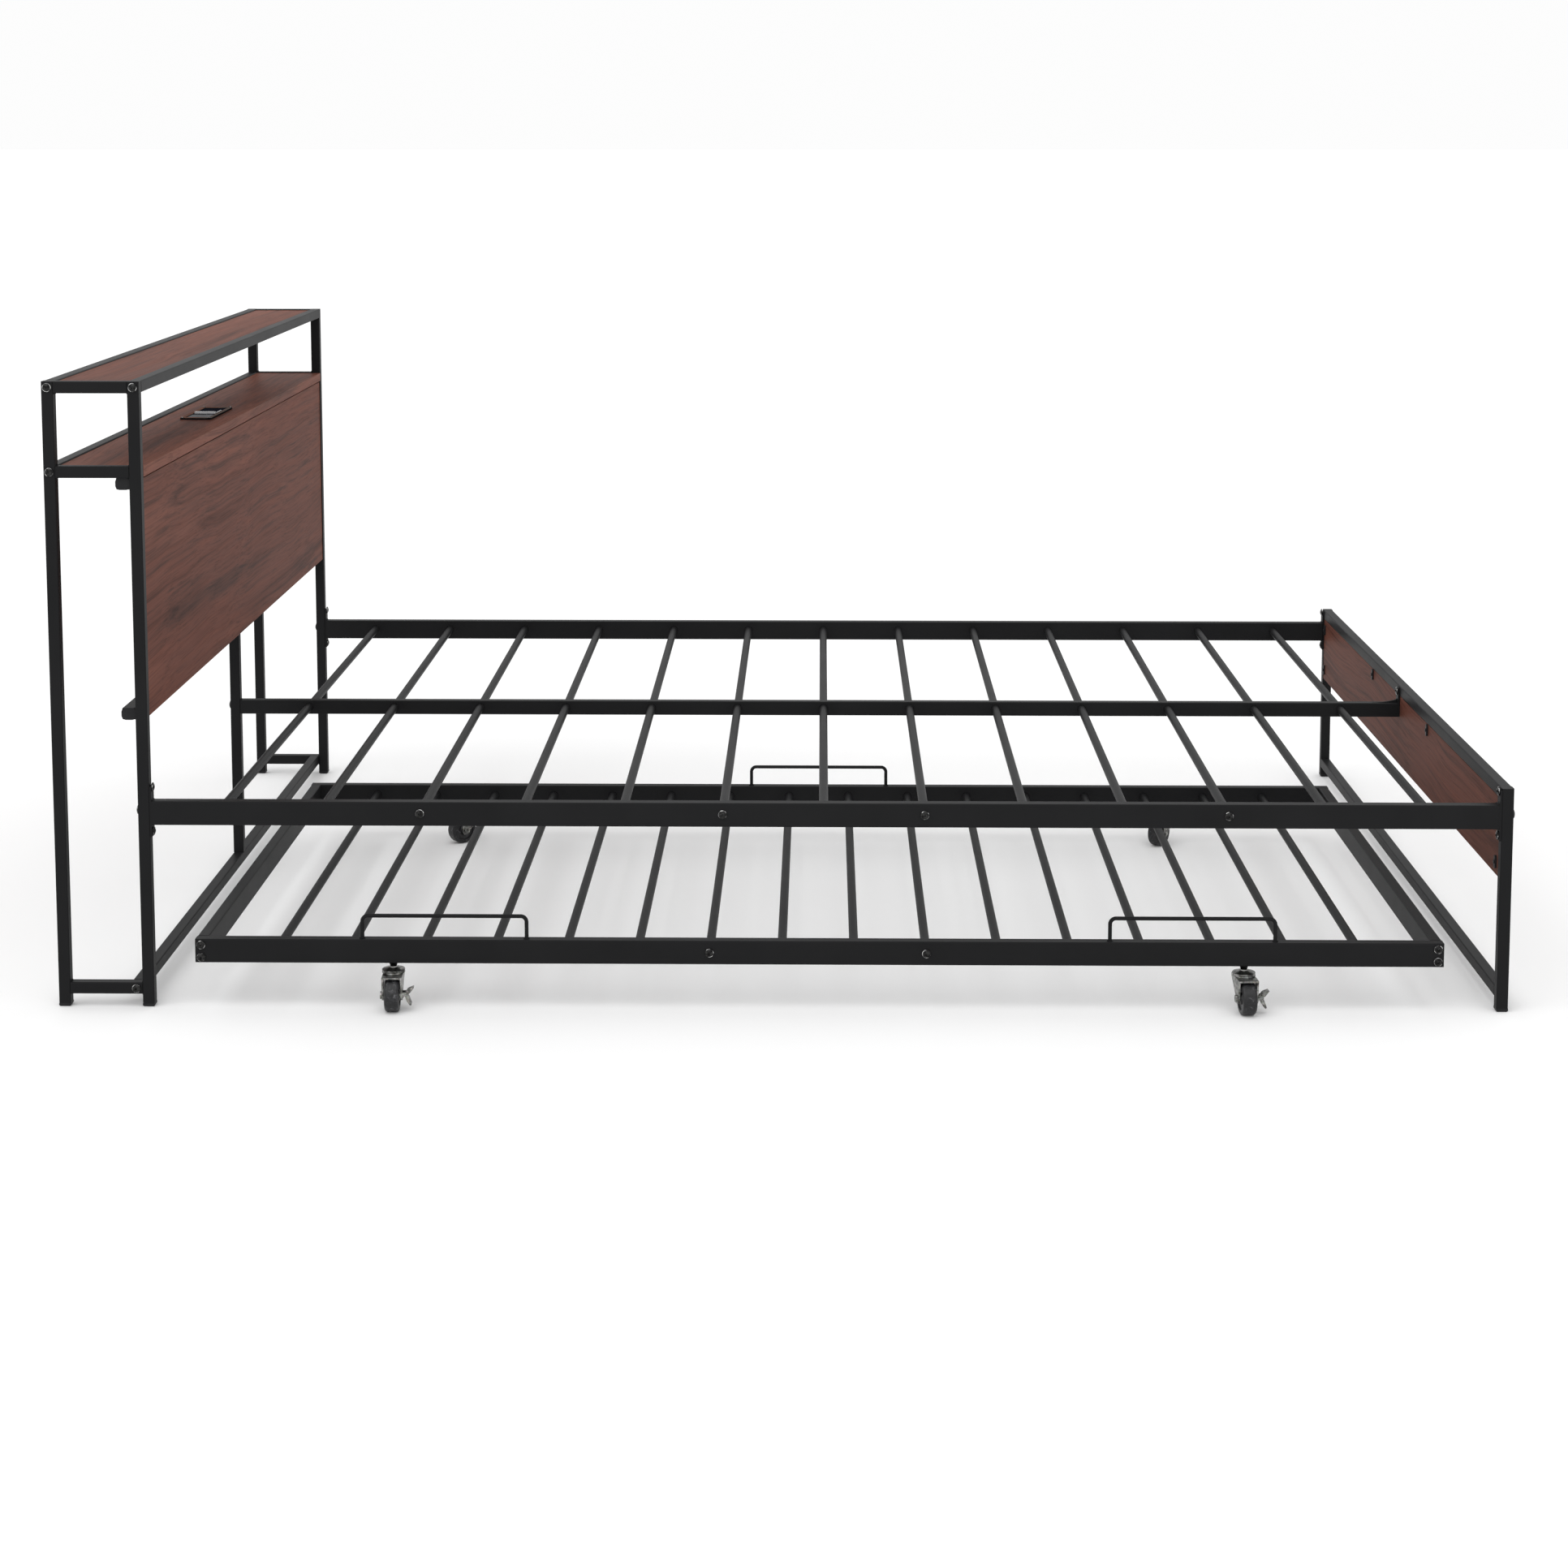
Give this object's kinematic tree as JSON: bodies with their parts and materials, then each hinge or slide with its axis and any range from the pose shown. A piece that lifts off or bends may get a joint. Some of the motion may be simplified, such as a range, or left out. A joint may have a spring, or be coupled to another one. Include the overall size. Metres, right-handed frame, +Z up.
{
  "type": "trundle bed",
  "caption": "Metal platform bed with a shelf headboard and outlet, wood-look panels, slatted deck and a low slatted trundle on swivel casters that rolls out from the side.",
  "frame": {"origin": "on the floor, under the middle of the whole outline", "axes": "+X from the headboard to the footboard, +Y across the bed away from the side the trundle rolls out of, +Z up"},
  "size_m": [2.2215, 1.604, 0.964],
  "materials": {
    "black_powder_coat": "satin",
    "walnut_board": "satin",
    "black_plastic": "matte",
    "outlet_plastic": "gloss",
    "bolt_steel": "satin",
    "zinc": "satin",
    "wheel_rubber": "satin"
  },
  "bodies": {
    "bed": {"headboard_side_frame_left": "black_powder_coat", "headboard_side_frame_right": "black_powder_coat", "headboard_top_front_rail": "black_powder_coat", "headboard_top_rear_rail": "black_powder_coat", "headboard_shelf_rear_rail": "black_powder_coat", "headboard_bottom_rail": "black_powder_coat", "panel_upper_rail": "black_powder_coat", "panel_lower_rail": "black_powder_coat", "panel_rail_end_caps": "black_plastic", "headboard_centre_post": "black_powder_coat", "top_shelf_board": "walnut_board", "lower_shelf_board": "walnut_board", "headboard_panel": "walnut_board", "power_outlet_bezel": "outlet_plastic", "power_outlet_insert": "outlet_plastic", "power_outlet_housing": "black_plastic", "power_outlet_screws": "bolt_steel", "side_rail_left": "black_powder_coat", "side_rail_right": "black_powder_coat", "centre_rail": "black_powder_coat", "bed_slats": "black_powder_coat", "footboard_post_left": "black_powder_coat", "footboard_post_right": "black_powder_coat", "footboard_top_rail": "black_powder_coat", "footboard_bottom_rail": "black_powder_coat", "footboard_panel": "walnut_board", "footboard_panel_clips": "black_plastic", "foot_caps": "black_plastic", "headboard_bolts": "bolt_steel", "rail_bolts": "bolt_steel", "slat_bolts": "bolt_steel"},
    "trundle": {"trundle_front_rail": "black_powder_coat", "trundle_rear_rail": "black_powder_coat", "trundle_end_rail_head": "black_powder_coat", "trundle_end_rail_foot": "black_powder_coat", "trundle_slats": "black_powder_coat", "trundle_bolts": "bolt_steel", "mattress_guard_front_head": "black_powder_coat", "mattress_guard_front_foot": "black_powder_coat", "mattress_guard_rear": "black_powder_coat", "caster_stem_front_head": "black_plastic", "caster_stem_front_foot": "black_plastic", "caster_stem_rear_head": "black_plastic", "caster_stem_rear_foot": "black_plastic"},
    "swivel_front_head": {"caster_fork_front_head": "zinc", "caster_axle_front_head": "zinc"},
    "wheel_front_head": {"caster_wheel_front_head": "wheel_rubber"},
    "brake_front_head": {"brake_lever_front_head": "zinc"},
    "swivel_front_foot": {"caster_fork_front_foot": "zinc", "caster_axle_front_foot": "zinc"},
    "wheel_front_foot": {"caster_wheel_front_foot": "wheel_rubber"},
    "brake_front_foot": {"brake_lever_front_foot": "zinc"},
    "swivel_rear_head": {"caster_fork_rear_head": "zinc", "caster_axle_rear_head": "zinc"},
    "wheel_rear_head": {"caster_wheel_rear_head": "wheel_rubber"},
    "swivel_rear_foot": {"caster_fork_rear_foot": "zinc", "caster_axle_rear_foot": "zinc"},
    "wheel_rear_foot": {"caster_wheel_rear_foot": "wheel_rubber"}
  },
  "joints": [
    {"name": "trundle_slide", "type": "slide", "parent": "bed", "child": "trundle", "axis": [0, -1, 0], "range_m": [-0.54, 1.06]},
    {"name": "swivel_front_head", "type": "hinge", "parent": "trundle", "child": "swivel_front_head", "pos_m": [-0.595, -0.75, 0.06], "axis": [0, 0, 1], "continuous": true},
    {"name": "roll_front_head", "type": "hinge", "parent": "swivel_front_head", "child": "wheel_front_head", "pos_m": [-0.59369, -0.77497, 0.025], "axis": [0.9986, 0.0523, 0], "continuous": true},
    {"name": "brake_front_head", "type": "hinge", "parent": "swivel_front_head", "child": "brake_front_head", "pos_m": [-0.57272, -0.77387, 0.027], "axis": [-0.0523, 0.9986, 0], "range_deg": [-12, 12]},
    {"name": "swivel_front_foot", "type": "hinge", "parent": "trundle", "child": "swivel_front_foot", "pos_m": [0.707, -0.75, 0.06], "axis": [0, 0, 1], "continuous": true},
    {"name": "roll_front_foot", "type": "hinge", "parent": "swivel_front_foot", "child": "wheel_front_foot", "pos_m": [0.70918, -0.7749, 0.025], "axis": [0.9962, 0.0872, 0], "continuous": true},
    {"name": "brake_front_foot", "type": "hinge", "parent": "swivel_front_foot", "child": "brake_front_foot", "pos_m": [0.7301, -0.77307, 0.027], "axis": [-0.0872, 0.9962, 0], "range_deg": [-12, 12]},
    {"name": "swivel_rear_head", "type": "hinge", "parent": "trundle", "child": "swivel_rear_head", "pos_m": [-0.595, 0.25, 0.06], "axis": [0, 0, 1], "continuous": true},
    {"name": "roll_rear_head", "type": "hinge", "parent": "swivel_rear_head", "child": "wheel_rear_head", "pos_m": [-0.61415, 0.23393, 0.025], "axis": [0.6428, -0.766, 0], "continuous": true},
    {"name": "swivel_rear_foot", "type": "hinge", "parent": "trundle", "child": "swivel_rear_foot", "pos_m": [0.707, 0.25, 0.06], "axis": [0, 0, 1], "continuous": true},
    {"name": "roll_rear_foot", "type": "hinge", "parent": "swivel_rear_foot", "child": "wheel_rear_foot", "pos_m": [0.69266, 0.22952, 0.025], "axis": [0.8192, -0.5736, 0], "continuous": true}
  ]
}
